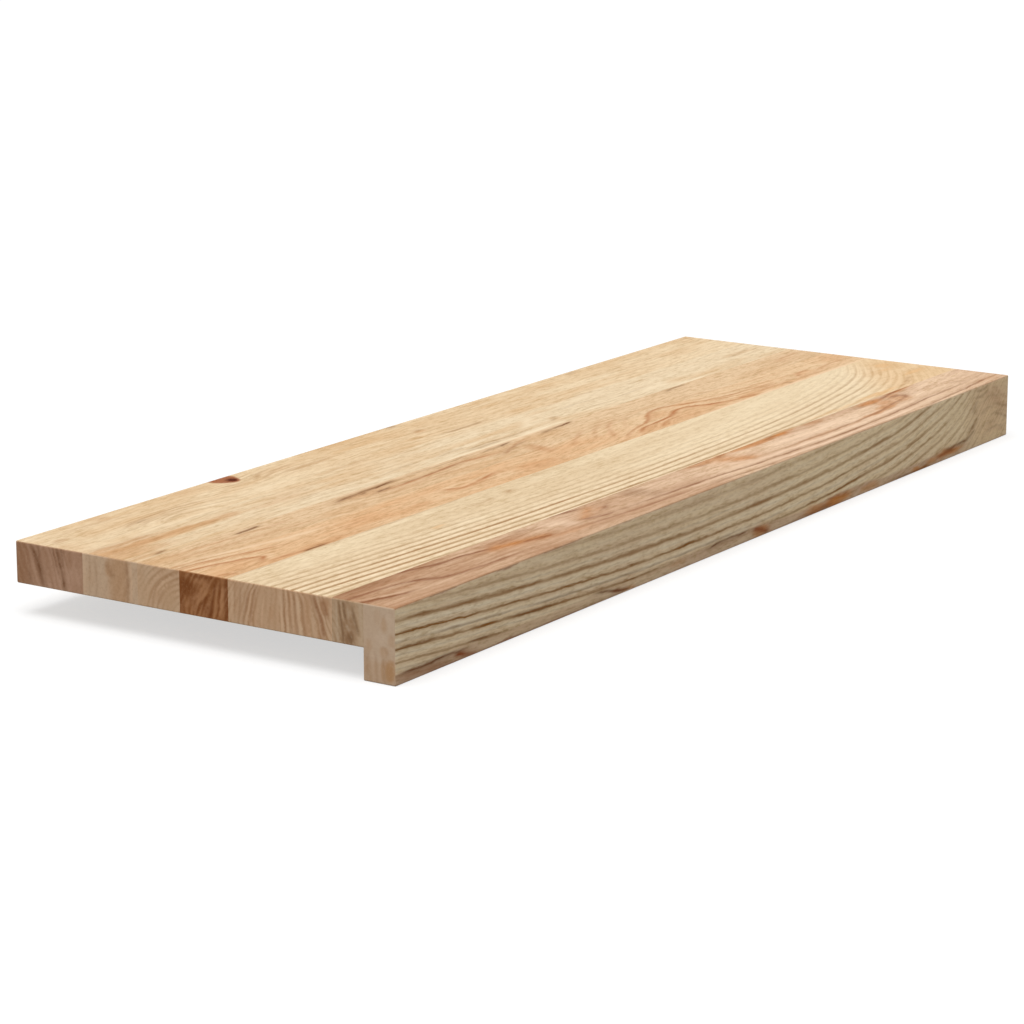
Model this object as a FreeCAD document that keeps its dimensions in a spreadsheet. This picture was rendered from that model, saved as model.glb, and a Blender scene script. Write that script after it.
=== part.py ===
import FreeCAD, Part
import Sketcher
import os

# Straight stair tread of solid wood: full-length staves glued edge to edge, and a deeper nosing strip
# glued along the front edge, which turns down over the riser.
# Millimetres. +X runs along the tread, +Y towards its back edge and +Z up.
# The origin is under the middle of the tread, level with the foot of the nosing.

DRIVING_SIZES = [
    ("tread_length", 900, "every piece from end to end"),
    ("tread_depth", 320, "front of the nosing to the back edge; the wide stave takes what the others leave"),
    ("tread_thickness", 30, "glued board from underside to walking surface"),
    ("nosing_drop", 22, "nosing below the underside of the board"),
    ("nosing_width", 25, "nosing from front to back"),
    ("stave_1_width", 60, "stave along the back edge"),
    ("stave_2_width", 48, "second stave from the back"),
    ("stave_3_width", 36, "third stave from the back"),
    ("stave_4_width", 41, "fourth stave from the back"),
    ("stave_6_width", 25, "stave glued to the nosing"),
    ("arris_radius", 1, "easing of the free edges"),
]
STAVES = ["stave_1", "stave_2", "stave_3", "stave_4", "stave_5", "stave_6"]
BACK_STAVE = "stave_1"
WIDE_STAVE = "stave_5"
SAME_PLACE = 1e-6

doc = FreeCAD.newDocument("StairTread")
sheet = doc.addObject("Spreadsheet::Sheet", "Sizes")


def fill_sheet():
    """Write the driving sizes, one to a row: alias, value and what it measures."""
    for row, (alias, value, meaning) in enumerate(DRIVING_SIZES, start=1):
        sheet.set(f"A{row}", alias)
        sheet.set(f"B{row}", str(value))
        sheet.set(f"C{row}", meaning)
        sheet.setAlias(f"B{row}", alias)
    doc.recompute()


def value_of(expression):
    return float(sheet.evalExpression(expression))


def stave_widths():
    """Expression for each stave's width, from the back to the front."""
    ripped = {name: f"Sizes.{name}_width" for name in STAVES if name != WIDE_STAVE}
    rest = " - ".join(["Sizes.tread_depth", "Sizes.nosing_width", *ripped.values()])
    return {name: ripped.get(name, f"({rest})") for name in STAVES}


def section_sketch(body, corners, run_sizes):
    """Sketch a closed outline of level and upright runs on the body's YZ plane.

    corners are (y, z) pairs, the first on the body's origin. run_sizes gives the expression for a run's length.
    """
    sketch = body.newObject("Sketcher::SketchObject", f"{body.Name}_section")
    plane = next(part for part in body.Origin.OriginFeatures if part.Role == "YZ_Plane")
    sketch.AttachmentSupport = [(plane, "")]
    sketch.MapMode = "FlatFace"
    runs = list(zip(corners, corners[1:] + corners[:1]))
    for start, end in runs:
        sketch.addGeometry(Part.LineSegment(FreeCAD.Vector(*start, 0), FreeCAD.Vector(*end, 0)), False)
    for run, (start, end) in enumerate(runs):
        level = start[1] == end[1]
        sketch.addConstraint(Sketcher.Constraint("Horizontal" if level else "Vertical", run))
        sketch.addConstraint(Sketcher.Constraint("Coincident", run, 2, (run + 1) % len(runs), 1))
        if run in run_sizes:
            kind = "DistanceX" if level else "DistanceY"
            length = Sketcher.Constraint(kind, run, 1, run, 2, value_of(run_sizes[run]))
            sketch.setExpression(f"Constraints[{sketch.addConstraint(length)}]", run_sizes[run])
    sketch.addConstraint(Sketcher.Constraint("Coincident", 0, 1, -1, 1))
    return sketch


def free_edges(shape, glue_planes):
    """Names of the edges to ease: all but those that lie in a glue plane, given by its y in the body."""
    names = []
    for number, edge in enumerate(shape.Edges, start=1):
        ys = [vertex.Y for vertex in edge.Vertexes]
        glued = any(all(abs(y - plane) < SAME_PLACE for y in ys) for plane in glue_planes)
        if not glued:
            names.append(f"Edge{number}")
    return names


def full_length_piece(name, corners, run_sizes, glue_planes):
    """Body of one section carried along the tread, half to each side of the middle, with eased free edges."""
    body = doc.addObject("PartDesign::Body", name)
    body.Label = name
    pad = body.newObject("PartDesign::Pad", f"{name}_length")
    pad.Profile = section_sketch(body, corners, run_sizes)
    pad.SideType = "Symmetric"
    pad.Refine = False
    pad.setExpression("Length", "Sizes.tread_length")
    doc.recompute()
    arris = body.newObject("PartDesign::Fillet", f"{name}_arris")
    arris.Base = (pad, free_edges(pad.Shape, glue_planes))
    arris.Refine = False
    arris.setExpression("Radius", "Sizes.arris_radius")
    return body


def make_stave(name, widths):
    """Rectangular stave. The back stave's rear face is free, and every other long edge is glued."""
    width = value_of(widths[name])
    thickness = value_of("Sizes.tread_thickness")
    corners = [(0, 0), (width, 0), (width, thickness), (0, thickness)]
    glue_planes = [0] if name == BACK_STAVE else [0, width]
    body = full_length_piece(name, corners, {0: widths[name], 1: "Sizes.tread_thickness"}, glue_planes)
    up_to_here = STAVES[:STAVES.index(name) + 1]
    front = " - ".join(["Sizes.tread_depth / 2", *(widths[stave] for stave in up_to_here)])
    body.setExpression("Placement.Base.y", front)
    body.setExpression("Placement.Base.z", "Sizes.nosing_drop")
    return body


def make_nosing():
    """Nosing strip, as high as the board and its drop. Its rear face is glued above and free below the board."""
    width = value_of("Sizes.nosing_width")
    drop = value_of("Sizes.nosing_drop")
    height = value_of("Sizes.nosing_drop + Sizes.tread_thickness")
    corners = [(0, 0), (width, 0), (width, drop), (width, height), (0, height)]
    run_sizes = {0: "Sizes.nosing_width", 1: "Sizes.nosing_drop", 2: "Sizes.tread_thickness"}
    body = full_length_piece("nosing", corners, run_sizes, [width])
    body.setExpression("Placement.Base.y", "-Sizes.tread_depth / 2")
    return body


def check(bodies):
    """Stop before anything is written if an object failed or a piece is not one valid solid."""
    for part in doc.Objects:
        if "Invalid" in part.State or "Error" in part.State:
            raise RuntimeError(f"{part.Label} failed: {part.State}")
    for body in bodies:
        if body.Shape.isNull() or not body.Shape.isValid() or len(body.Shape.Solids) != 1:
            raise RuntimeError(f"{body.Label} is not one valid solid")


fill_sheet()
widths = stave_widths()
pieces = [make_stave(name, widths) for name in STAVES] + [make_nosing()]
doc.recompute()
check(pieces)

os.makedirs("parts", exist_ok=True)
for piece in pieces:
    piece.Shape.exportStep(f"parts/{piece.Label}.step")
    box = piece.Shape.BoundBox
    print(f"{piece.Label}: y {box.YMin:.1f} to {box.YMax:.1f}, z {box.ZMin:.1f} to {box.ZMax:.1f}, "
          f"{piece.Shape.Volume / 1000:.1f} cm3, {len(piece.Shape.Faces)} faces")
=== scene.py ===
import math
import bpy
import numpy as np
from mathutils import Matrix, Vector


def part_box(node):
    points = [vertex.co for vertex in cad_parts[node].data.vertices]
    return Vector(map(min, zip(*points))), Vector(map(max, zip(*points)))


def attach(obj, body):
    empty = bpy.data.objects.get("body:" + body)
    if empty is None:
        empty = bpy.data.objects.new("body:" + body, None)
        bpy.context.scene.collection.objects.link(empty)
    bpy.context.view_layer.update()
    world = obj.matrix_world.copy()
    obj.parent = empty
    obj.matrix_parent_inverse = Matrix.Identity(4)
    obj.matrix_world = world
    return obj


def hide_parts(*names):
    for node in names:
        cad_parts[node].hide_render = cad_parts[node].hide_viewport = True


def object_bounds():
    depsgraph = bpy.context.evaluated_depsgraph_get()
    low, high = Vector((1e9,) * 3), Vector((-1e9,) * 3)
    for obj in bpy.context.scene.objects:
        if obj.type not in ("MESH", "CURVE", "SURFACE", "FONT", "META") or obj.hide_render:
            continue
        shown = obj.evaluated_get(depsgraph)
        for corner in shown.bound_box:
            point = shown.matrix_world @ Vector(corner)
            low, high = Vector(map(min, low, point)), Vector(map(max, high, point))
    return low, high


# Bare stair tread glued up from full-length staves, with a deeper nosing along its front edge.
# The figure of the wood is worked out in millimetres on each stave's own grid:
#   along = distance from the left end, across = distance from the back edge, deep = distance below the top.
# It goes into mesh attributes, and the wood materials turn those into rings, fibres and stains.

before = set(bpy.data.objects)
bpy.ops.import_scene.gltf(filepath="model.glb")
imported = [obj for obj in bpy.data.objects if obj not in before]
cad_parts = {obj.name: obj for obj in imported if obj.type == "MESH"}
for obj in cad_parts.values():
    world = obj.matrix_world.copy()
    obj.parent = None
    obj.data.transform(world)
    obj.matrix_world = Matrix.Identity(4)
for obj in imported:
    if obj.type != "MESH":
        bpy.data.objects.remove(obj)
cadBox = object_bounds()
millimetre = 0.001
staveNames = ["stave_1", "stave_2", "stave_3", "stave_4", "stave_5", "stave_6"]
treadLow, treadHigh = (np.array(corner) / millimetre for corner in cadBox)
print("frame loaded, tread", np.round(treadHigh - treadLow, 1), "mm")


# Helpers for drawing figure

def smoothStep(low, high, value):
    # 0 below low, 1 above high, and 3t^2 - 2t^3 between them
    t = np.clip((value - low) / (high - low), 0.0, 1.0)
    return t * t * (3.0 - 2.0 * t)


def drift(place, steps):
    # sum of smooth steps, each its height and where it begins and ends
    return sum(height * smoothStep(low, high, place) for height, low, high in steps)


def worn(place, fades):
    # what is left after smooth fades, each the share that it takes and where it begins and ends
    return np.prod([1.0 - share * smoothStep(low, high, place) for share, low, high in fades], axis=0)


def smoothCurve(points, at):
    # cubic through a few (place, value) points, its slope at each one taken from the points beside it
    places, values = np.array(points, float).T
    slopes = np.gradient(values, places)
    i = np.clip(np.searchsorted(places, at) - 1, 0, len(places) - 2)
    span = places[i + 1] - places[i]
    t = np.clip((at - places[i]) / span, 0.0, 1.0)
    leave = values[i] * (1 + 2 * t) * (1 - t) ** 2 + slopes[i] * span * t * (1 - t) ** 2
    arrive = values[i + 1] * t * t * (3 - 2 * t) + slopes[i + 1] * span * t * t * (t - 1)
    return leave + arrive


latticeSize = 64


def softNoise(a, b, seed):
    # value noise: random heights on a seeded lattice, blended smoothly between the four nearest
    lattice = np.random.default_rng(seed).uniform(-1.0, 1.0, (latticeSize, latticeSize))
    ia, ib = np.floor(a).astype(int), np.floor(b).astype(int)
    ta, tb = smoothStep(0, 1, a - ia), smoothStep(0, 1, b - ib)
    ia, ib = ia % (latticeSize - 1), ib % (latticeSize - 1)
    near = lattice[ia, ib] * (1 - ta) + lattice[ia + 1, ib] * ta
    far = lattice[ia, ib + 1] * (1 - ta) + lattice[ia + 1, ib + 1] * ta
    return near * (1 - tb) + far * tb


def ripple(along, across, *layers):
    # sum of noises, a layer being its strength, its length along the grain, its width across it and its seed
    return sum(layer[0] * softNoise(along / layer[1], across / layer[2], layer[3]) for layer in layers)


def cloud(along, across, amount, seed):
    # drawn-out cloudiness, the sum of three noises each about half as long and half as strong as the last
    layers = [(0.5, 95.0, 17.0, seed), (0.32, 46.0, 7.0, seed + 1), (0.2, 22.0, 3.2, seed + 2)]
    return amount * ripple(along, across, *layers)


def bell(off, width):
    # height 1 in the middle: exp(-(off over width) squared)
    return np.exp(-(off / width) ** 2)


def bump(along, across, centre, reach):
    # round hill of height 1: exp(-(distance over reach) squared)
    return np.exp(-((along - centre[0]) / reach[0]) ** 2 - ((across - centre[1]) / reach[1]) ** 2)


def shade(along, across, bumps):
    # sum of soft bumps, each its centre, its reach and its height, which is below nought where it lightens
    return sum(amount * bump(along, across, centre, reach) for centre, reach, amount in bumps)


drawing = {
    "stretch": 2.6,  # fibres draw lines out, so lengths along the grain count for less
    "legs": 10,  # short legs for each point of a line
    "reach": 7.0,  # past so many widths a line leaves no ink
    "taper": 0.22,  # share of a line that thins out at each end
    "endInk": 0.2,
    "shake": [(0.7, 12.0, 4.0, 5), (0.35, 5.0, 2.5, 7)],  # ripple of a line's edge
    "fullInk": 0.92,
    "broken": (0.25, 14.0, 3.0, 8),  # ripple of a line's ink
    "ragged": [(1.6, 14.0, 3.0, 6), (0.8, 6.0, 2.0, 9)],  # ripple of a stain's edge
}


def veinInk(along, across, stretch, side, width, ink, *path):
    # line through the vein's points: exp(-(distance over width) squared), thinning out at both ends
    # a vein with a side dies away slowly on it, and has a pale edge on the other
    # ink below nought draws a pale line
    points = np.array(path, float) / (stretch, 1.0)
    legs = np.hypot(*np.diff(points, axis=0).T)
    run = np.concatenate([[0.0], np.cumsum(legs)])
    fine = np.linspace(0.0, run[-1], drawing["legs"] * len(points))
    line = np.stack([smoothCurve(np.stack([run, points[:, k]], 1), fine) for k in (0, 1)], 1)
    drawn = np.zeros(len(along))
    reach = drawing["reach"] * width
    low, high = line.min(0) - reach, line.max(0) + reach
    near = (along > low[0] * stretch) & (along < high[0] * stretch) & (across > low[1]) & (across < high[1])
    place = np.stack([along[near] / stretch, across[near]], 1)[:, None, :]
    leg = np.diff(line, axis=0)[None]
    offset = place - line[None, :-1]
    share = np.clip((offset * leg).sum(2) / (leg ** 2).sum(2), 0.0, 1.0)
    gap = np.hypot(*np.moveaxis(offset - share[..., None] * leg, 2, 0))
    nearest = gap.argmin(1)
    rows = np.arange(len(nearest))
    turn = leg[..., 0] * offset[..., 1] - leg[..., 1] * offset[..., 0]
    way = (nearest + share[rows, nearest]) / (len(fine) - 1)
    taper = smoothStep(0.0, drawing["taper"], way) * smoothStep(0.0, drawing["taper"], 1.0 - way)
    off = gap[rows, nearest] / width
    even = 0.75 * bell(off, 1.0) + 0.25 * bell(off, 2.6)
    fading = 0.7 * bell(off, 1.0) + 0.3 * bell(off, 3.2)
    edged = bell(off, 0.85) - 0.3 * bell(off - 2.1, 0.9)
    shape = np.where(turn[rows, nearest] * side > 0, fading, edged) if side else even
    drawn[near] = ink * shape * (drawing["endInk"] + (1.0 - drawing["endInk"]) * taper)
    return drawn


def drawVeins(along, across, veins, edged=(), edgedBack=(), stretch=drawing["stretch"]):
    # the darkest of the veins at each point less the palest, their edges shaken and their ink broken a little
    # a vein is its width, its ink and its points; an edged one dies away slowly to the front, or to the back
    shaky = across + ripple(along, across, *drawing["shake"])
    broken = drawing["fullInk"] + ripple(along, across, drawing["broken"])
    sided = ((0, veins), (1, edged), (-1, edgedBack))
    inks = [veinInk(along, shaky, stretch, side, *vein) for side, group in sided for vein in group]
    dark = np.clip(np.max(inks, axis=0), 0.0, 1.0)
    pale = np.clip(-np.min(inks, axis=0), 0.0, 1.0)
    return broken * (dark - pale * (1.0 - dark))


def drawPatches(along, across, patches):
    # stains with a flat middle and a ragged edge: exp(-(distance over reach) to the fourth)
    # a patch is its centre, its reach and its amount, and where some overlap the strongest counts
    ragged = across + ripple(along, across, *drawing["ragged"])

    def stain(centre, reach, amount):
        square = ((along - centre[0]) / reach[0]) ** 2 + ((ragged - centre[1]) / reach[1]) ** 2
        return amount * np.exp(-square ** 2)

    return np.max([stain(*patch) for patch in patches], axis=0)


# Figure of the top, one function for each run of staves that were sawn from alike boards

paleBack = {
    "ringPitch": 6.5,
    "wander": [(4.0, 95.0, 26.0, 21), (1.4, 30.0, 9.0, 22)],
    "knot": (222.5, 5.0),
    "knotReach": (14.0, 13.5),
    "knotDepth": 9.0,  # how far down the back edge it shows
    "knotHalf": 17.0,  # half its length along that edge
    "knotFade": (0.7, 1.15),  # it dies away there between these shares of its size
    "knotPoint": 0.03,  # how fast it draws to a point away from the edge
    "knotHeart": (226.0, 12.0),
    "heartReach": (5.2, 5.2),
    "push": 13.0,  # how far the knot pushes the rings aside
    "pushReach": (34.0, 26.0),
    "flame": (120.0, 41.0),
    "flameHeight": 12.0,
    "flameReach": (48.0, 16.0),
    "ink": 0.08,
    "inkRipple": (0.08, 60.0, 8.0, 23),
    "darker": [((120, 41), (60, 16), 0.24), ((240.5, 20), (40, 14), 0.22)],  # rings show more here
    "warm": 0.44,
    "warmAcross": [(-0.16, 40, 100)],
    # partly the wood's own tone and partly painted light: the top is made paler towards the right end to
    # stand in for brighter light there
    "warmAlong": [(-0.24, 300, 900)],
    "cloud": (0.8, 24),
    "shades": [((610, 84), (95, 24), -0.3), ((710, 45), (70, 18), -0.25)],
    "clearSpot": ((788, 48), (38, 34)),
    "clearShare": 0.7,  # share of the warmth that is lost there, and the warmth put in its place
    "clearWarm": 0.1,
    "patches": [
        ((40, 78), (125, 8), 0.95), ((5, 86), (60, 16), 0.75), ((440, 29), (9, 4.5), 0.7),
        ((205, 78), (45, 13), 0.36), ((300, 28.5), (34, 3), 0.6), ((305, 54), (45, 2.6), 0.55),
        ((470, 52), (36, 3), 0.55), ((705, 9), (24, 4), 0.6), ((400, 9), (22, 4), 0.5),
        ((444, 3), (10, 2.5), 0.7), ((480, 36), (120, 20), 0.5), ((340, 42), (60, 12), 0.42),
        ((730, 94), (20, 6), 0.5), ((470, 97), (80, 4), 0.5), ((540, 94), (8, 7), 0.6),
        ((860, 80), (30, 5), 0.5), ((120, 3), (60, 4), 0.55), ((640, 20), (50, 8), 0.45),
        ((475, 16), (60, 14), 0.62),
    ],
    "streaks": [
        (1.5, 0.7, (434, 1), (440, 2.5), (447, 3.5)), (1.1, 0.55, (22, 105.5), (29, 104), (36, 102.5)),
        (1.3, 0.3, (394, 101), (430, 98.5), (470, 99.5), (502, 98)),
        (1.1, 0.28, (370, 95), (392, 93), (414, 93.5)), (1.3, 0.25, (529, 98), (538, 93), (546, 87)),
        (1.1, 0.22, (296, 96), (320, 93), (352, 92)), (1.1, 0.3, (402, 104), (430, 102.5), (452, 102)),
        (1.3, 0.25, (834, 84), (856, 80), (882, 77)), (1.1, 0.28, (442, 51), (470, 51.5), (502, 51)),
        (1.0, 0.35, (83, 38.8), (90, 37), (98, 36.5)), (1.5, 0.25, (436, 31), (440, 28), (444, 25)),
        (1.6, 0.22, (690, 8), (702, 5), (716, 4)), (1.3, 0.25, (6, 27.5), (14, 26.5), (22, 25.5)),
        (1.2, 0.16, (200, 92), (214, 90), (230, 91)), (1.2, 0.16, (560, 80), (590, 77), (630, 79)),
        (1.2, 0.18, (640, 92), (670, 88), (690, 89)),
    ],
    "ambers": [
        ((40, 77), (90, 5.5), 0.42), ((100, 77), (40, 4.0), 0.4), ((136, 77), (16, 5.0), 0.3),
        ((20, 68), (56, 3.4), 0.36), ((8, 80), (40, 14), 0.34), ((12, 92), (50, 6), 0.26),
        ((0, 40), (14, 60), 0.1), ((80, 8), (8, 6), 0.2), ((175, 7), (14, 5), 0.16),
        ((210, 75), (24, 8), 0.1), ((16, 27), (8, 4), 0.2), ((8, 103), (30, 3), 0.25),
        ((440, 30), (8, 4), 0.3), ((190, 80), (36, 5), 0.16),
    ],
    "veins": [
        (1.3, -0.9, (330, 107), (420, 106.5), (530, 107)),
        (1.8, -1.0, (470, 105), (505, 104.5), (540, 105.5)), (2.4, -0.6, (500, 93), (512, 84), (530, 74)),
        (2.6, -0.7, (665, 98), (690, 94), (712, 96)), (2.0, -0.5, (560, 68), (590, 64), (620, 66)),
        (1.6, -0.5, (40, 60), (90, 58), (150, 59)), (1.8, -0.45, (180, 50), (220, 46), (260, 48)),
        (1.2, -0.8, (690, 106.5), (730, 106), (765, 107)), (1.0, -0.5, (150, 106), (200, 105.5), (240, 106)),
        (1.3, 0.4, (66, 45), (76, 38), (96, 33), (122, 31), (150, 33), (168, 38)),
        (1.2, 0.36, (80, 48), (92, 41), (118, 37), (146, 40)),
        (1.2, 0.3, (92, 50), (106, 44), (124, 42.5), (140, 46)),
        (1.2, 0.4, (236, 26), (244, 20), (256, 14), (272, 10)),
        (1.2, 0.36, (240, 30), (252, 24), (268, 19), (300, 16)), (1.2, 0.3, (206, 20), (214, 24), (226, 26)),
        (1.4, 0.45, (0, 66), (30, 66.5), (66, 68)), (1.8, 0.36, (262, 28), (300, 28.5), (332, 27)),
        (1.2, 0.3, (262, 54), (300, 54.5), (346, 53)), (1.3, 0.36, (442, 52), (470, 52), (504, 51)),
        (1.2, 0.22, (560, 62), (600, 60), (660, 61)), (1.4, 0.25, (20, 16), (60, 14), (100, 17)),
        (1.4, 0.4, (22, 105), (29, 104), (36, 103)),
    ],
}


def paleBackFigure(along, across):
    # rings: distance across, pushed aside by the knot and drawn up in a flame, over their pitch
    own = paleBack
    knotAlong, knotAcross = own["knot"]
    push = own["push"] * bell(along - knotAlong, own["pushReach"][0]) * np.exp(-across / own["pushReach"][1])
    flame = own["flameHeight"] * bump(along, across, own["flame"], own["flameReach"])
    ring = (across - push + flame + ripple(along, across, *own["wander"])) / own["ringPitch"]
    ink = own["ink"] + ripple(along, across, own["inkRipple"]) + shade(along, across, own["darker"])
    tannedMiddle = bell(along - 440, 130.0) * (1.0 - smoothStep(45, 75, across))
    leftCorner = (1.0 - smoothStep(130, 190, along)) * (1.0 - smoothStep(54, 64, across))
    # the drift along is partly painted light, paling the top towards the right end
    warm = own["warm"] + drift(across, own["warmAcross"]) + drift(along, own["warmAlong"])
    warm = warm + 0.2 * tannedMiddle - leftCorner * (0.12 + 0.16 * smoothStep(20, 36, across))
    warm = warm + cloud(along, across, *own["cloud"]) + shade(along, across, own["shades"])
    warm = np.maximum(warm, drawPatches(along, across, own["patches"]))
    clear = bump(along, across, *own["clearSpot"])
    warm = warm * (1.0 - own["clearShare"] * clear) + own["clearWarm"] * clear
    narrow = 1.0 + own["knotPoint"] * np.maximum(across - knotAcross, 0.0)
    outer = bump(knotAlong + (along - knotAlong) * narrow, across, own["knot"], own["knotReach"])
    knot = 0.5 * smoothStep(0.2, 0.55, outer) + 0.5 * bump(along, across, own["knotHeart"], own["heartReach"])
    return {
        "ring": ring, "ink": ink, "warm": warm, "knot": knot,
        "stain": np.maximum(drawVeins(along, across, own["streaks"]), 0.0),
        "vein": drawVeins(along, across, own["veins"]),
        "amber": drawPatches(along, across, own["ambers"]),
    }


tanMiddle = {
    "ringPitch": 6.0,
    "wander": [(5.0, 85.0, 20.0, 31), (1.6, 28.0, 8.0, 32)],
    "arch": ((622, 168), (75.0, 26.0)),
    "archHeight": 20.0,
    "slope": 9.0,  # how far the rings climb left of the arch
    "ink": 0.12,
    "inkRipple": (0.1, 50.0, 7.0, 33),
    "warm": 0.5,
    "warmAcross": [(0.14, 140, 182)],
    # partly the wood's own tone and partly painted light: the top is made paler towards the right end to
    # stand in for brighter light there
    "warmAlong": [(-0.3, 300, 600), (-0.3, 600, 800)],
    "cloud": (0.75, 36),
    "patches": [
        ((628, 172), (52, 12), 0.66), ((600, 158), (26, 12), 0.6), ((640, 152), (26, 8), 0.6),
        ((705, 177), (26, 8), 0.7), ((560, 178), (40, 7), 0.8), ((22, 170), (34, 13), 0.9),
        ((120, 181), (66, 5), 0.85), ((395, 171), (34, 11), 0.95), ((478, 120), (36, 9), 0.75),
        ((196, 136), (34, 7), 0.8), ((370, 137), (64, 6), 0.85), ((800, 136), (60, 8), 0.5),
        ((180, 169), (26, 5), 0.7), ((240, 172), (16, 5), 0.8), ((310, 166), (34, 8), 0.7),
        ((812, 169), (18, 7), 0.45), ((770, 178), (12, 4), 0.75), ((880, 150), (30, 26), 0.35),
        ((440, 138), (12, 12), 0.6), ((245, 118), (40, 8), 0.6), ((752, 165), (36, 6), 0.4),
    ],
    "streaks": [
        (1.1, 1.0, (94, 115.5), (110, 114.5), (128, 113)),
        (1.0, 1.0, (104, 115.5), (114, 115), (124, 113.5)),
        (2.0, 0.75, (206, 122), (220, 116.5), (244, 114.5), (270, 113.5), (302, 112)),
        (1.4, 0.4, (222, 121), (230, 117), (240, 114)), (1.2, 1.0, (226, 114.5), (238, 115), (252, 114)),
        (1.0, 0.6, (236, 118), (242, 118.5), (250, 115)), (1.1, 1.0, (258, 116), (268, 114.5), (282, 112)),
        (1.4, 0.85, (252, 123.5), (262, 123), (272, 122.5)),
        (1.0, 0.32, (270, 123.5), (310, 122.5), (350, 121), (384, 118.5)),
        (1.4, 0.6, (404, 113), (426, 113), (446, 112)), (1.1, 1.0, (428, 114.5), (438, 112.5), (448, 111)),
        (1.6, 0.65, (484, 115), (500, 113.5), (532, 111.5)), (0.9, 0.6, (490, 111), (494, 113), (500, 115)),
        (0.9, 0.8, (504, 115), (512, 113), (518, 111.5)), (1.1, 1.0, (514, 113.5), (524, 112), (536, 110)),
        (1.3, 0.6, (676, 114.5), (690, 111.5), (718, 110)), (0.9, 0.5, (688, 112.5), (698, 111), (706, 110)),
        (0.8, 0.4, (300, 111.5), (352, 111.5), (404, 111)), (1.2, 0.95, (84, 184), (98, 183.5), (112, 183)),
        (1.1, 0.4, (764, 176), (768, 179), (771, 182)),
        (1.4, 0.3, (408, 131), (430, 124), (448, 121), (462, 118.5)),
    ],
    "veins": [
        (0.9, 0.6, (-10, 145), (24, 147.5), (50, 152)),
        (1.1, 0.6, (44, 178), (70, 180.5), (96, 182.5), (126, 183)),
        (1.8, -0.75, (20, 135), (50, 140.5), (82, 147), (112, 151.5), (158, 155)),
        (1.0, -0.5, (6, 139.5), (30, 142), (56, 148)), (1.4, 0.25, (150, 168), (166, 166), (190, 162)),
        (1.3, 0.75, (246, 126), (290, 124.5), (330, 122.5), (362, 119.5), (390, 122), (424, 126)),
        (1.3, 0.3, (250, 134), (300, 131), (370, 133)),
        (1.3, 0.4, (404, 134), (424, 126), (446, 119), (474, 113)),
        (2.0, 0.3, (436, 160), (441, 148), (445, 138), (449, 126)),
        (1.3, 0.34, (464, 160), (482, 149), (500, 141), (516, 133)),
        (1.4, 0.26, (486, 168), (506, 152), (528, 139), (552, 130)),
        (1.3, 0.4, (504, 172), (518, 160), (534, 147), (560, 134)),
        (1.2, 0.18, (540, 162), (556, 148), (576, 138)),
        (1.3, 1.0, (596, 166), (610, 161.5), (624, 157.5), (632, 158)),
        (1.6, 0.8, (690, 174), (700, 179), (714, 180)), (1.5, 0.5, (716, 178), (740, 176), (768, 178)),
        (1.4, 0.5, (776, 181), (806, 178), (836, 180)), (1.4, 0.5, (826, 173), (850, 170), (886, 168)),
        (1.2, 0.5, (660, 162), (700, 169), (740, 171), (790, 175)),
        (1.4, 0.6, (796, 174), (808, 167.5), (818, 166), (822, 170)),
        (2.2, 0.3, (840, 128), (866, 122), (896, 120)),
        (1.2, 0.35, (0, 117), (40, 118), (100, 121), (170, 122)),
        (1.2, 0.25, (0, 124), (50, 127), (110, 133), (180, 137)),
        (1.2, -0.5, (750, 178), (764, 172), (772, 164), (790, 160)),
        (1.4, -0.5, (612, 150), (624, 149), (640, 155), (660, 161)),
        (1.6, -0.4, (680, 170), (710, 168), (740, 172)), (1.1, -0.7, (222, 109), (256, 109), (300, 109)),
        (1.2, -0.8, (396, 109.5), (440, 109), (536, 108.5)),
        (1.5, -1.0, (590, 186), (660, 184.6), (740, 184.2), (830, 184.4), (960, 185)),
    ],
    "edged": [
        (1.0, 0.6, (-12, 136), (20, 138.5), (48, 143), (70, 148)),
        (1.1, 0.8, (-16, 140), (16, 143.5), (44, 149), (66, 155), (96, 161)),
        (1.3, 1.0, (-16, 148), (14, 152.5), (36, 159), (50, 164), (59, 168.5), (54, 173), (44, 179)),
        (1.4, 0.7, (0, 174), (8, 178), (16, 183)),
        (1.6, 0.85, (282, 157), (290, 162.5), (302, 167), (318, 166), (340, 162), (364, 159.5)),
        (1.4, 0.75, (498, 184), (512, 178), (528, 171), (548, 165.5), (568, 161.5), (580, 155),
         (590, 148.5), (604, 143), (618, 142.5), (638, 148), (656, 154.5), (682, 161.5), (724, 165.5),
         (790, 168.5)),
        (1.4, 1.0, (528, 184), (535, 177), (548, 171), (574, 168), (598, 166), (610, 161.5), (622, 157),
         (634, 158), (650, 166), (668, 172.5), (700, 180)),
        (1.2, 0.65, (562, 183), (568, 177), (578, 173), (604, 171.5)),
        (1.2, 0.4, (642, 139), (668, 150), (706, 157), (760, 161), (820, 166)),
        (1.2, 0.25, (660, 132), (700, 142), (760, 149), (840, 153)),
    ],
    "ambers": [
        ((650, 176), (46, 8), 0.08), ((610, 177), (28, 5), 0.17), ((705, 178), (20, 5), 0.22),
        ((600, 156), (16, 8), 0.1), ((560, 178), (30, 6), 0.16), ((740, 174), (40, 4), 0.12),
        ((885, 160), (18, 14), 0.18), ((858, 130), (16, 6), 0.14), ((830, 176), (60, 5), 0.16),
        ((14, 178), (18, 5), 0.2), ((110, 180), (50, 4), 0.26), ((240, 172), (16, 5), 0.15),
        ((395, 172), (30, 10), 0.22), ((245, 119), (30, 7), 0.25), ((440, 140), (8, 14), 0.2),
        ((815, 170), (18, 7), 0.05),
    ],
}


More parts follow.
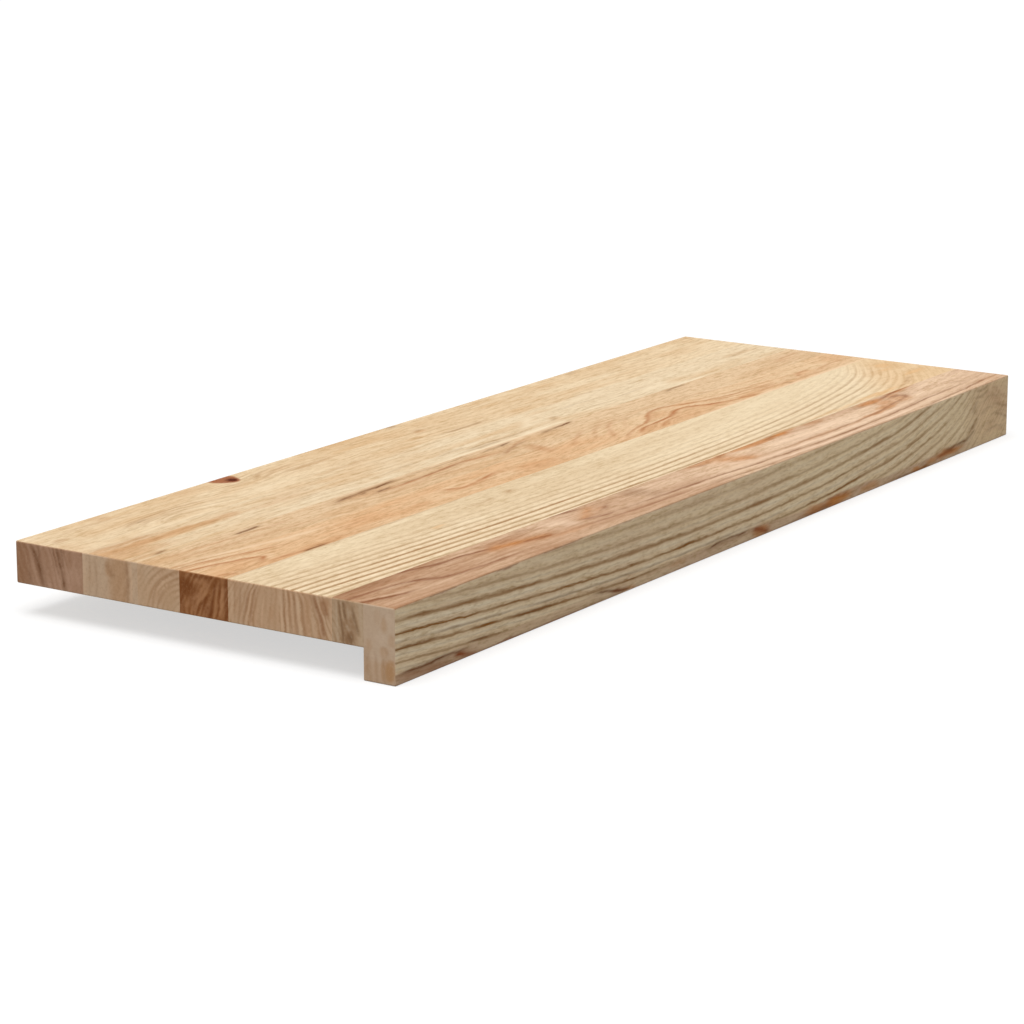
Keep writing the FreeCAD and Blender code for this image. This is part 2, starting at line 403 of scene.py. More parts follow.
def tanMiddleFigure(along, across):
    # rings: distance across, raised in an arch with a slope to the left of it, over their pitch
    own = tanMiddle
    arch = own["archHeight"] * bump(along, across, *own["arch"])
    slope = own["slope"] * np.tanh((along - 470.0) / 55.0) * bell(along - 500.0, 130.0)
    ring = (across + arch + slope + ripple(along, across, *own["wander"])) / own["ringPitch"]
    ink = own["ink"] + ripple(along, across, own["inkRipple"])
    upper = 1.0 - smoothStep(122, 132, across)
    upperLeft = upper * smoothStep(10, 50, along) * (1.0 - smoothStep(360, 420, along))
    # the drift along is partly painted light, paling the top towards the right end
    warm = own["warm"] + drift(across, own["warmAcross"]) + drift(along, own["warmAlong"])
    warm = warm + cloud(along, across, *own["cloud"]) - 0.4 * upperLeft
    warm = np.maximum(warm, drawPatches(along, across, own["patches"]))
    return {
        "ring": ring, "ink": ink, "warm": warm,
        "vein": drawVeins(along, across, own["veins"], own["edged"]),
        "amber": drawPatches(along, across, own["ambers"]),
        "stain": np.maximum(drawVeins(along, across, own["streaks"]), 0.0),
    }


paleLined = {
    "ringPitch": 7.75,
    "firstLine": 237.6,  # the darkest line starts here at the left end
    "sag": [(0, 0), (100, 5.8), (200, 11), (300, 14), (400, 15), (500, 13.5), (600, 10), (660, 5.5), (700, 1),
            (750, -6.5), (800, -17), (830, -27), (860, -44), (900, -74)],
    "firstYear": 0.8,
    "wander": [(0.6, 52.0, 14.0, 41), (0.2, 15.0, 6.0, 42)],
    "lineInk": [(198, 0.05), (206, 0.22), (214, 0.32), (222, 0.54), (230, 0.64), (237, 0.95),
                (245, 0.78), (253, 0.92), (261, 0.72), (285, 0.66), (300, 0.56), (340, 0.5)],
    "inkFades": [(0.8, 838, 884), (0.1, 770, 810), (0.44, 280, 720)],
    "evenInk": 0.86,
    "inkRipple": (0.24, 34.0, 5.0, 43),
    "warm": 0.3,
    "warmAcross": [(0.16, 222, 262)],
    # partly the wood's own tone and partly painted light: the top is made paler towards the right end to
    # stand in for brighter light there
    "warmAlong": [(-0.3, 380, 900)],
    "endWarm": 0.15,  # warmth and amber of the right end, which goes over into tan wood
    "endAmber": 0.45,
    "cloud": (0.4, 44),
    "shades": [((365, 214), (80, 16), 0.2), ((580, 238), (90, 26), -0.25)],
    "patches": [
        ((880, 214), (18, 16), 0.8), ((872, 246), (26, 8), 0.75), ((850, 222), (24, 7), 0.65),
        ((192, 221), (9, 3), 0.7), ((170, 217), (8, 3), 0.5), ((380, 226), (40, 5), 0.5),
        ((270, 203), (22, 3), 0.45), ((40, 247), (90, 9), 0.45), ((445, 222), (14, 12), 0.4),
    ],
    "ambers": [
        ((878, 211), (13, 8), 0.75), ((864, 222), (12, 3), 0.7), ((870, 246), (24, 5), 0.8),
        ((193, 221), (8, 2.6), 0.5), ((775, 264), (40, 4.5), 0.75), ((700, 266), (60, 2.5), 0.4),
        ((592, 270.5), (32, 2.6), 0.8), ((540, 270.5), (16, 1.8), 0.5), ((497, 270.5), (9, 1.8), 0.5),
    ],
    "veins": [
        (1.1, 0.6, (304, 204), (309, 202), (313, 199)), (1.3, 0.3, (250, 204), (266, 205.5), (290, 203)),
        (1.4, 0.5, (822, 262), (838, 256), (850, 250)), (1.2, 0.4, (800, 266), (824, 263), (842, 258)),
        (1.5, 0.65, (546, 271.5), (572, 269.6), (602, 268.6), (628, 269.4)),
        (1.0, 0.4, (-80, 185.6), (80, 185.6), (200, 185.2), (330, 184.8)),
    ],
}


def paleLinedFigure(along, across):
    # rings: the place where a growth line met the left end, which is across less its sag, over their pitch
    own = paleLined
    sag = smoothCurve(own["sag"], along)
    origin = across - sag + ripple(along, across, *own["wander"])
    ring = (origin - own["firstLine"]) / own["ringPitch"] + own["firstYear"]
    ink = smoothCurve(own["lineInk"], np.clip(origin, own["lineInk"][0][0], own["lineInk"][-1][0]))
    backLines = smoothStep(180, 330, along) * smoothStep(238, 226, origin)
    ink = ink * (1.0 - 0.4 * backLines) * worn(along, own["inkFades"])
    ink = ink * (own["evenInk"] + ripple(along, across, own["inkRipple"]))
    tannedEnd = smoothStep(775, 850, along + 1.1 * (across - 235))
    # the drift along is partly painted light, paling the top towards the right end
    warm = own["warm"] + drift(across, own["warmAcross"]) + drift(along, own["warmAlong"])
    warm = warm + cloud(along, across, *own["cloud"]) + shade(along, across, own["shades"])
    warm = warm + own["endWarm"] * tannedEnd
    warm = np.maximum(warm, drawPatches(along, across, own["patches"]))
    return {
        "ring": ring, "ink": ink, "warm": warm,
        "vein": drawVeins(along, across, own["veins"]),
        "amber": np.maximum(drawPatches(along, across, own["ambers"]), own["endAmber"] * tannedEnd),
    }


rosyFront = {
    "ringPitch": 7.0,
    "hollow": [(0, 0), (200, 4), (420, 9), (620, 14), (760, 10), (900, -4)],
    "wander": [(3.6, 80.0, 16.0, 51), (1.2, 24.0, 7.0, 52)],
    "ink": 0.14,
    "inkRipple": (0.1, 50.0, 7.0, 53),
    "warm": [(0, 0.92), (120, 0.84), (200, 0.72), (240, 0.4), (300, 0.4), (420, 0.4), (560, 0.36),
             (760, 0.28), (820, 0.22), (900, 0.32)],
    "cloud": (0.5, 54),
    "shades": [
        ((625, 286), (105, 9), -0.4), ((25, 288), (45, 6), -0.3), ((300, 313), (90, 8), 0.3),
        ((440, 288), (75, 8), -0.22), ((100, 273), (60, 6), 0.14), ((85, 313), (70, 7), -0.18),
    ],
    "edgeWarm": 0.14,  # past the joint with the nosing
    "smudgeInk": 0.6,
    "patches": [
        ((496, 270.5), (10, 4.5), 0.8), ((586, 271.5), (16, 5.5), 1.0), ((574, 272), (6, 5), 0.9),
        ((540, 271.5), (14, 5), 0.85), ((604, 270), (8, 4), 0.55), ((474, 270.5), (9, 3), 0.7),
        ((548, 272), (44, 5.5), 0.85), ((470, 273), (28, 5.5), 0.62), ((732, 275), (22, 4.6), 0.9),
        ((740, 287), (14, 9), 0.55), ((726, 294), (18, 4.5), 0.7), ((762, 288), (15, 8), 0.5),
        ((766, 277), (12, 4), 0.5), ((640, 272), (16, 4.5), 0.4), ((788, 270), (24, 3.5), 0.9),
        ((620, 300), (70, 2.2), 0.3), ((696, 298.5), (30, 2.8), 0.6), ((500, 283), (10, 9), 0.3),
        ((236, 303), (30, 5), 0.3), ((875, 311), (24, 4), 0.15), ((300, 286), (10, 3), 0.3),
    ],
    "glows": [
        (4.0, 0.95, (150, 286), (172, 288.5), (196, 293), (224, 299)),
        (2.6, 1.0, (184, 292.5), (204, 295.5), (222, 298)), (2.6, 0.5, (302, 273), (286, 283), (266, 294)),
        (4.6, 0.75, (492, 262), (486, 276), (492, 287), (512, 300)),
    ],
    "veins": [
        (1.6, 1.0, (66, 267.5), (86, 272.5), (102, 277.5), (128, 279.5)),
        (1.7, 1.0, (54, 286.5), (70, 293.5), (77, 299), (96, 304)),
        (1.2, 0.8, (-14, 279), (10, 282.5), (40, 285), (60, 289)),
        (1.4, 0.8, (250, 269), (274, 271.5), (294, 276)), (1.3, 0.7, (262, 291), (276, 296), (304, 299.5)),
        (1.6, 0.5, (312, 283), (306, 286), (300, 290)), (1.6, 0.7, (758, 277), (774, 284), (766, 293)),
        (1.5, 0.8, (744, 277), (776, 271.5), (800, 269), (840, 266)),
        (1.4, 0.4, (562, 274), (572, 271.5), (580, 269)), (1.5, 0.5, (486, 274), (496, 271), (506, 268)),
        (1.3, 0.5, (456, 271), (468, 269.5), (480, 268)), (1.4, 0.3, (206, 271), (222, 279), (236, 288)),
        (1.7, 0.8, (186, 293), (203, 296), (222, 297.5)), (3.4, -0.5, (236, 276), (248, 286), (256, 297)),
        (1.4, 0.3, (840, 292), (850, 296), (858, 301)), (1.4, 0.35, (444, 272), (456, 276), (462, 281)),
        (1.9, -0.9, (420, 300), (520, 304), (620, 306), (700, 304.5), (780, 300)),
        (1.6, -0.8, (460, 312), (520, 314.5), (600, 316.5), (700, 315.5), (790, 311)),
        (4.0, -0.5, (540, 286), (610, 289), (690, 286)), (1.8, -0.6, (470, 288), (482, 294), (500, 300)),
    ],
    "edged": [
        (1.3, 0.85, (68, 268.5), (84, 272), (96, 276), (112, 278.5), (134, 279.5), (150, 283), (170, 288)),
        (1.3, 0.72, (0, 280), (12, 282.5), (30, 284), (50, 286), (61, 289.5), (70, 293.5), (76, 298),
         (86, 302), (102, 304.5), (132, 306), (170, 307.5)),
        (1.5, 1.0, (-10, 289), (10, 297), (25, 301), (46, 305)),
        (1.4, 0.5, (0, 270.5), (30, 270), (66, 269.5)),
        (1.3, 0.6, (536, 297.5), (570, 299.5), (620, 300.3), (670, 299.5), (706, 297.5), (740, 292),
         (768, 289), (775, 284), (764, 277)),
    ],
    "edgedBack": [
        (1.3, 0.75, (267, 293), (276, 296.5), (296, 299), (330, 300.5), (400, 303), (440, 305), (490, 308),
         (550, 310.5), (600, 312.3), (650, 312), (700, 310.5), (750, 307.5), (800, 305), (850, 303),
         (900, 299)),
        (1.4, 0.5, (400, 311), (436, 314), (480, 317), (520, 319)),
        (1.3, 0.7, (740, 319.5), (776, 317.5), (820, 315), (856, 312), (900, 309)),
        (1.4, 0.4, (216, 301), (270, 305), (330, 309), (400, 311)),
    ],
    "smudges": [
        ((357, 280), (15, 10), 0.62), ((362, 292), (12, 8), 0.45), ((30, 274), (44, 5), 0.4),
        ((640, 272), (14, 4), 0.2), ((708, 276), (10, 4), 0.4),
    ],
}


def rosyFrontFigure(along, across):
    # rings: distance across less a long hollow, over their pitch
    own = rosyFront
    hollow = smoothCurve(own["hollow"], along)
    ring = (across - hollow + ripple(along, across, *own["wander"])) / own["ringPitch"]
    ink = own["ink"] + ripple(along, across, own["inkRipple"])
    frontEdge = smoothStep(290, 300, across) * smoothStep(150, 300, along)
    warm = smoothCurve(own["warm"], along) + cloud(along, across, *own["cloud"])
    warm = warm + own["edgeWarm"] * frontEdge + shade(along, across, own["shades"])
    glow = np.maximum(drawVeins(along, across, own["glows"]), 0.0)
    return {
        "ring": ring, "ink": ink, "warm": warm,
        "vein": drawVeins(along, across, own["veins"], own["edged"], own["edgedBack"]),
        "amber": np.maximum(drawPatches(along, across, own["patches"]), glow),
        "stain": drawPatches(along, across, own["smudges"]) * own["smudgeInk"],
    }


# Figure of the nosing's face, which shows a pale lined side of its strip with a rosy foot

nosingFace = {
    # depth of each dark line at the left end, and its year
    "years": [(-120, -12.7), (-40, -4.2), (-11, -1.2), (-0.4, -0.2), (8.6, 0.8), (17.6, 1.8),
              (27.6, 2.8), (36.3, 3.8), (45.5, 4.8), (110, 11.8), (170, 18.3)],
    "wander": [(0.4, 42.0, 12.0, 61), (0.35, 8.0, 3.0, 62)],
    # depth, width and ink
    "faintLines": [(4.3, 0.7, 0.12), (13.4, 0.6, 0.1), (23.2, 0.8, 0.42), (31.6, 0.6, 0.14), (41, 0.7, 0.25)],
    "sag": [(0, 0), (100, 7), (200, 13), (300, 17), (400, 18), (500, 16.5), (600, 12), (650, 8), (700, 3),
            (750, -7), (790, -17.5), (820, -31), (850, -53), (900, -98)],
    "lineInk": [(-60, 0.3), (-22, 0.36), (-12, 0.36), (-0.5, 0.48), (8.8, 0.88), (18, 1.0),
                (27.5, 1.0), (37, 0.75), (46, 0.7), (90, 0.7), (160, 0.6)],
    # the higher, the thinner the lines
    "lineFine": [(-60, 0.3), (-12, 0.3), (-0.5, 0.3), (8.8, 0.0), (13, 0.2), (17.5, 0.6),
                 (27.5, 0.4), (36.5, 0.55), (46, 0.4), (90, 0.3), (160, 0.3)],
    "lineRange": (-60, 160),
    "fineAlong": [(-0.6, 550, 720)],
    "inkAlong": [(-0.06, 220, 520), (-0.13, 560, 660)],
    "inkFades": [(0.85, 822, 856), (0.4, 740, 800)],
    "footInk": 0.2,  # share of the ink that is left on the foot
    "evenInk": 0.85,
    "inkRipple": (0.3, 26.0, 5.0, 64),
    "faintAlong": [(-0.6, 350, 550), (-0.4, 700, 800)],
    "faintRipple": (0.8, 20.0, 3.0, 66),
    "warm": 0.24,
    "warmAlong": [(-0.22, 220, 560)],
    "endWarm": [(0.12, 790, 850)],
    "cloud": (0.2, 65),
    "shades": [((410, 6), (110, 8), 0.06)],
    "footDepth": 44.2,
    "footBlur": 0.9,
    "footRipple": (1.4, 40.0, 9.0, 63),
    "footWarm": [(0, 0.74), (30, 0.6), (70, 0.4), (110, 0.34), (200, 0.3), (280, 0.16), (400, 0.36),
                 (500, 0.6), (900, 0.6)],
    "edge": 0.8,  # how far below the top the face's figure begins, and how much further in places
    "edgeWave": 1.2,
    "edgeBlur": 0.3,
    "meeting": 0.5,  # width of the arris where neither figure has lines
    "patches": [
        ((594, 47.3), (24, 4.4), 0.95), ((566, 48.2), (26, 3.6), 0.7), ((648, 48.5), (18, 3.4), 0.5),
        ((738, 50.5), (16, 2.2), 0.8), ((758, 48), (10, 3.5), 0.6), ((788, 46), (26, 3.6), 0.85),
        ((474, 48), (12, 4), 0.7), ((556, 49.5), (16, 2.4), 0.5), ((284, 50.5), (8, 2), 0.6),
        ((352, 47), (12, 3), 0.2), ((868, 22), (42, 40), 0.15),
    ],
    "veins": [
        (1.9, 1.0, (66, 45.5), (76, 48), (84, 50), (94, 52)), (1.2, 0.8, (260, 47), (274, 49), (290, 51.5)),
        (1.8, 0.9, (460, 43.5), (470, 46), (488, 51)), (1.3, 0.7, (764, 49.5), (782, 46), (802, 44.5)),
        (1.1, 0.5, (540, 51), (562, 49), (590, 50)), (0.9, 0.4, (574, 45.2), (596, 44.6), (616, 46)),
        (2.2, 0.4, (0, 49.5), (30, 48.5), (66, 50)), (2.4, 0.3, (858, 6), (872, 14), (886, 22), (904, 30)),
        (1.2, 0.25, (866, 1), (876, 8), (890, 16), (904, 20)), (1.2, 0.15, (858, 40), (878, 42), (900, 48)),
    ],
    "hairs": [
        (0.8, 0.9, (0, 45.4), (40, 44.9), (88, 45.4)), (0.8, 0.8, (236, 43.5), (258, 46.5), (290, 51)),
        (0.8, 0.85, (390, 44.6), (420, 44), (460, 43.6)),
        (1.0, 0.7, (778, 43), (796, 43.4), (812, 43), (828, 42.5)),
        (0.9, 0.5, (820, 43), (828, 40), (838, 36)), (1.2, 0.5, (824, 38), (834, 33), (842, 26)),
        (1.1, 0.36, (834, 8.5), (848, 9.5), (864, 5)), (1.0, 0.32, (836, 3), (850, 4.5), (862, 0)),
        (1.4, 0.3, (838, 24), (836, 17), (842, 11)), (1.2, 0.25, (848, 27), (862, 21), (874, 23)),
        (1.1, 0.4, (872, 27), (886, 31), (904, 38)), (1.1, 0.2, (846, 38), (862, 34), (880, 36)),
        (0.9, 0.25, (852, 16), (866, 12), (884, 15)), (0.9, 0.22, (856, 44), (874, 40), (900, 44)),
        (0.9, 0.22, (862, 30), (880, 27), (902, 32)), (0.8, 0.3, (870, 19), (884, 22), (902, 27)),
        (0.8, 0.7, (84, 42.5), (96, 43), (108, 43.5)), (0.8, 0.35, (100, 51.4), (200, 51.4), (300, 51.4)),
        (0.8, 0.45, (500, 51.4), (560, 51), (600, 51.4)), (0.9, 0.8, (690, 51), (726, 51), (764, 51.2)),
        (0.9, 0.4, (130, 36.5), (150, 38), (186, 40.5)), (0.8, 0.4, (0, 27.5), (30, 29), (52, 30.5)),
    ],
}


def nosingFaceFigure(along, deep):
    # years: a curve through the depths where the lines met the left end, a point's own being depth less sag
    own = nosingFace
    sag = smoothCurve(own["sag"], along)
    origin = deep - sag + ripple(along, deep, *own["wander"])
    ring = smoothCurve(own["years"], origin)
    onLines = np.clip(origin, *own["lineRange"])
    faint = sum(ink * bell(origin - line, width) for line, width, ink in own["faintLines"])
    faint = faint * (1.0 + drift(along, own["faintAlong"])) * (1.0 + ripple(along, deep, own["faintRipple"]))
    ragged = deep + ripple(along, deep, own["footRipple"]) * smoothStep(80, 120, along)
    foot = smoothStep(own["footDepth"] - own["footBlur"], own["footDepth"] + own["footBlur"], ragged)
    foot = foot * (1.0 - smoothStep(800, 850, along))
    paleLine = smoothStep(340, 480, along) * bell(origin - 17.6, 4.5)
    ink = smoothCurve(own["lineInk"], onLines) * (1.0 - (1.0 - own["footInk"]) * foot)
    ink = ink * (1.0 - 0.25 * paleLine) * (1.0 + drift(along, own["inkAlong"])) * worn(along, own["inkFades"])
    ink = ink * (own["evenInk"] + ripple(along, deep, own["inkRipple"]))
    tannedMiddle = bell(along - 400, 110.0)
    warm = own["warm"] + drift(along, own["warmAlong"]) + cloud(along, deep, *own["cloud"])
    warm = warm + 0.12 * tannedMiddle + shade(along, deep, own["shades"])
    warm = warm + foot * smoothCurve(own["footWarm"], along) + (1.0 - foot) * drift(along, own["endWarm"])
    fine = smoothCurve(own["lineFine"], onLines) * (1.0 + drift(along, own["fineAlong"]))
    return {
        "ring": ring, "ink": ink, "warm": warm, "fine": fine,
        "stain": np.maximum(drawVeins(along, deep, own["hairs"]), faint * (1.0 - foot)),
        "vein": drawVeins(along, deep, own["veins"]),
        "amber": drawPatches(along, deep, own["patches"]),
    }


# End grain: rings about a heart, or for the fan a set of lines that spread downwards from one place

sawnEnd = {
    "farShift": (3.5, 2.0),  # across and deep, between the two cuts
    "warm": 0.3,
    "growth": 0.7,  # how unlike the years are
    "evenInk": 0.62,
    "inkSpread": 0.45,
}
endGrain = {
    "stave_1": {
        "heart": (-95.0, 50.0), "pitch": 4.6, "ink": 0.45, "seed": 71,
        "patches": [((2, 15), (13, 60), 1.0), ((26, 5), (5, 6), 0.6), ((48, 6), (4, 8), 0.6)],
        "calm": [((54, 14), (6, 30), 0.7), ((29, 18), (5, 9), 0.6)],
        "veins": [
            (1.7, 1.0, (14, -2), (16, 4), (19, 10), (21.5, 17), (24, 26), (26, 32)),
            (1.2, 0.5, (20, -2), (21, 5), (20, 12)), (0.8, 0.7, (32.5, -2), (34, 4), (36.5, 12), (39, 22)),
            (1.3, 0.95, (36, -2), (38.5, 8), (41, 16), (44, 32)), (0.8, 0.6, (40.5, -2), (42, 6), (43, 14)),
            (0.9, 0.5, (11, 18), (13, 25), (15, 32)), (0.9, -0.6, (34, 0), (36, 6), (39, 16), (41, 27)),
            (0.9, -0.6, (17, 22), (20, 27), (22, 32)), (0.9, -0.4, (15, 12), (17, 18), (19, 24)),
        ],
    },
    "stave_2": {
        "heart": (190.0, 70.0), "pitch": 7.0, "ink": 0.2, "seed": 72, "warm": 0.15,
        "patches": [((92, 14), (10.5, 40), 1.0), ((84, 8), (5, 7), 1.0)],
        "calm": [((68, 14), (10, 40), 0.5)],
        "veins": [
            (1.6, 0.4, (80.5, 4), (82.5, 8), (86, 12), (90, 13)), (1.0, 0.2, (66, -2), (66.5, 14), (65, 32)),
            (1.2, 0.25, (71, 2), (72, 18), (71.5, 32)), (1.2, 0.5, (98, -2), (99.5, 14), (99, 32)),
            (1.0, -0.7, (101.5, -2), (102.5, 14), (102, 32)), (1.4, -0.3, (61, -2), (61.5, 14), (61, 32)),
        ],
    },
    "stave_3": {
        "heart": (154.0, 40.0), "pitch": 4.2, "ink": 0.75, "seed": 73,
        "patches": [((133, 22), (8, 8), 0.6), ((126, 10), (8, 8), 0.4)],
        "calm": [((136, 24), (7, 6), 0.9), ((110, 16), (7, 40), 0.6)],
        "veins": [
            (0.9, 0.6, (119, 32), (122, 20), (127, 11), (136, 5), (146, 1)),
            (0.9, 0.55, (124, 30), (127, 21), (132, 14), (139, 9), (146, 6)),
            (0.8, -0.6, (121, 28), (125, 18), (131, 10), (139, 5)),
            (0.8, -0.6, (128, 18), (134, 11), (142, 8)),
        ],
    },
    "stave_4": {
        "heart": (225.0, 44.0), "pitch": 4.2, "ink": 0.7, "seed": 74,
        "patches": [
            ((150, 10), (9, 8), 1.0), ((164, 1), (14, 3), 0.9), ((167, 23), (6, 7), 0.9),
            ((183.5, 14), (2.2, 30), 1.0), ((146, 19), (2.4, 14), 0.9), ((158, 24), (4, 8), 0.7),
        ],
        "calm": [((150, 11), (9, 7), 0.8)],
        "veins": [
            (1.0, 0.8, (169, 32), (172, 18), (175, 3)), (0.9, 0.7, (175.5, 32), (177.5, 16), (179, 1)),
            (1.0, 0.7, (160, 25), (166, 17), (172, 13)),
            (1.4, -0.8, (154, 29), (158, 22), (163, 16), (170, 10)),
            (1.3, -0.65, (152, 19), (158, 16.5), (164, 11), (170, 5)),
            (1.1, -0.65, (172, 32), (174.5, 18), (177, 4)), (1.8, -0.9, (178, 30), (179, 16), (180.5, 4)),
            (2.0, -0.45, (156, 4), (161, 6), (167, 4)), (2.0, -0.4, (147, 25), (151, 22), (156, 21)),
            (1.0, -0.5, (162, 32), (165, 25), (169, 19)),
        ],
    },
    "stave_5": {
        "fan": 229.0, "spread": 0.014, "pitch": 3.7, "ink": 0.85, "seed": 75,
        "patches": [
            ((250, 14), (4, 40), 0.7), ((264, 7), (4.5, 7), 0.9), ((205, 18), (7, 20), 0.6),
            ((260, 22), (6, 9), 0.4), ((222, 8), (7, 8), 0.45), ((213, 14), (8, 30), 0.5),
        ],
        "calm": [((219, 16), (9, 40), 0.75), ((250, 16), (4, 30), 0.5), ((191, 14), (6, 30), 0.5)],
        "veins": [
            (0.9, 0.7, (230.5, -2), (231, 12), (233, 32)), (0.9, 0.7, (234.5, -2), (235.5, 12), (238, 32)),
            (1.0, 0.75, (239, -2), (240, 12), (243, 32)), (0.9, 0.5, (245, 2), (246.5, 16), (248, 32)),
            (1.5, 1.0, (254, -2), (257, 6), (261, 16), (264, 32)),
            (2.0, 0.75, (262, 1), (264, 8), (267, 15)), (0.9, 0.75, (208.5, 0), (206, 10), (202.5, 30)),
            (0.9, 0.65, (203, 3), (200, 16), (196.5, 30)), (0.7, 0.5, (195.5, 0), (195, 14), (193.5, 30)),
            (0.7, 0.4, (191, 0), (190.5, 14), (190, 30)), (0.9, -0.8, (228.5, -2), (228.6, 12), (230.5, 32)),
            (0.9, -0.85, (232.5, -2), (233.4, 12), (235.6, 32)),
            (0.9, -0.7, (236.7, -2), (237.8, 14), (240.5, 32)),
            (1.0, -0.9, (241.5, -2), (242.8, 12), (246, 32)),
            (1.1, -0.6, (256.5, 1), (259.5, 9), (263.5, 19)), (0.8, -0.6, (212, 32), (213, 20), (215, 6)),
            (0.8, -0.55, (200.5, 30), (203, 18), (206, 4)), (1.0, -0.5, (188, 0), (188.5, 14), (188, 32)),
            (1.8, -0.5, (270.5, -2), (271, 14), (271.5, 32)),
        ],
    },
    "stave_6": {
        "heart": (225.0, 48.0), "pitch": 4.0, "ink": 0.4, "seed": 76, "warm": 0.12,
        "patches": [((283, 22), (6, 13), 0.9), ((282, 8), (3, 10), 0.6), ((275.5, 14), (1.6, 40), 0.4)],
        "calm": [((292, 14), (4, 40), 0.7)],
        "veins": [
            (0.9, 0.9, (275, -2), (276.5, 10), (278.5, 22), (279, 32)),
            (1.1, 1.0, (278.5, 0), (280, 9), (281, 14)),
            (1.3, 0.8, (285.5, 1), (287.5, 10), (290, 18), (292, 25)),
            (2.2, 0.9, (282, 23), (284.5, 25.5), (287, 26.5)),
            (0.8, -0.6, (273.5, -2), (274, 16), (275, 32)), (0.7, -0.5, (277, 0), (278, 8), (279.5, 16)),
            (1.3, -0.7, (281, 5), (282.5, 8), (283.5, 12)), (1.6, -0.5, (281, 17), (283, 19.5), (286, 20)),
            (1.8, -0.6, (292.5, -4), (293, 14), (293.5, 34)),
        ],
    },
    "nosing": {
        "heart": (190.0, 30.0), "pitch": 5.6, "ink": 0.12, "seed": 77, "warm": 0.06,
        "patches": [
            ((315.5, 43), (5, 9), 0.8), ((312, 43), (5, 9), 0.6), ((304, 46), (16, 10), 0.3),
            ((299, 27), (3, 6), 0.3), ((311, 13), (3, 5), 0.35), ((317, 22), (3, 5), 0.3),
            ((311, 30), (4, 4), 0.35), ((306, 8), (3, 6), 0.2),
        ],
        "calm": [((306, 14), (14, 16), 0.7)],
        "veins": [
            (0.9, 0.4, (299.5, 33), (299.8, 42), (300.5, 54)), (2.2, 0.6, (297, 30), (297.4, 38), (298, 48)),
            (2.0, -0.4, (303, 20), (307, 22), (313, 22)), (1.6, -0.4, (313, 4), (316, 8), (319, 13)),
            (1.2, 0.4, (309, 26), (312, 29), (315, 33)), (1.0, 0.45, (304.5, 31), (305, 42), (306, 54)),
            (0.9, 0.6, (310, 32), (310.6, 40), (311.5, 52)), (0.9, -0.35, (302, 30), (302.4, 42), (303, 54)),
            (0.9, -0.35, (307.6, 30), (308, 42), (308.6, 54)),
        ],
    },
}


def endFigure(name, across, deep, far):
    # rings: distance from the heart over their pitch, or from the fan's middle over one that grows downwards
    # both ends are cuts through the same stave, so the far one only has its rings a little moved
    own = endGrain[name]
    across = across + np.where(far, sawnEnd["farShift"][0], 0.0)
    deep = deep + np.where(far, sawnEnd["farShift"][1], 0.0)
    seed = own["seed"]
    moved = across + ripple(across, deep, (1.3, 9.0, 8.0, seed), (0.5, 3.0, 5.0, seed + 10))
    if "fan" in own:
        ring = (moved - own["fan"]) / (1.0 + own["spread"] * deep) / own["pitch"]
    else:
        ring = np.hypot(moved - own["heart"][0], deep - own["heart"][1]) / own["pitch"]
    ring = ring + sawnEnd["growth"] * softNoise(ring * 0.45, 0.0 * ring, seed + 20)
    uneven = softNoise(ring * 0.8, deep / 30.0, seed + 30)
    ink = own["ink"] * (sawnEnd["evenInk"] + sawnEnd["inkSpread"] * uneven)
    ink = ink * (1.0 - drawPatches(across, deep, own["calm"]))
    clouded = ripple(across, deep, (1.2, 13.0, 18.0, seed + 40), (0.7, 4.0, 9.0, seed + 50))
    warm = own.get("warm", sawnEnd["warm"]) * (1.0 + clouded)
    warm = np.maximum(warm, drawPatches(across, deep, own["patches"]))
    vein = drawVeins(across, deep, own["veins"], stretch=1.0)  # nothing is drawn out on a cut
    return {"endRing": ring, "endInk": ink, "endWarm": warm, "endVein": vein}


# Boards: a rounded section carried from end to end, closed by a grid at each end

board = {
    "arris": 1.0,
    "arrisSteps": 3,
    "alongStep": 2.6,
    "acrossStep": 0.75,
    "sideStep": 2.0,
    "faceStep": 0.8,
    "sharpAngle": 40.0,  # degrees, past which an edge isn't shaded round
}


def spaced(low, high, step, easeLow, easeHigh):
    # even steps between the two sides, with short steps inside an eased arris
    ease = np.linspace(0.0, board["arris"], board["arrisSteps"] + 1)
    start = low + ease if easeLow else np.array([low])
    stop = high - ease[::-1] if easeHigh else np.array([high])
    count = max(2, int(round((stop[0] - start[-1]) / step)))
    middle = np.linspace(start[-1], stop[0], count + 1)[1:-1]
    return np.concatenate([start, middle, stop])


def roundCorners(y, z, low, high, corners):
    # in an eased corner the square grid is bent onto a quarter disc:
    # its offset from the corner's centre times the longer side of that offset over its length
    radius = board["arris"]
    for upper, back in corners:
        wayY, wayZ = (1 if back else -1), (1 if upper else -1)
        centreY = high[0] - radius if back else low[0] + radius
        centreZ = high[1] - radius if upper else low[1] + radius
        offY = np.maximum((y - centreY) * wayY, 0.0)
        offZ = np.maximum((z - centreZ) * wayZ, 0.0)
        eased = (offY > 0) & (offZ > 0)
        shrink = np.where(eased, np.maximum(offY, offZ) / np.maximum(np.hypot(offY, offZ), 1e-9), 1.0)
        y = np.where(eased, centreY + wayY * offY * shrink, y)
        z = np.where(eased, centreZ + wayZ * offZ * shrink, z)
    return y, z


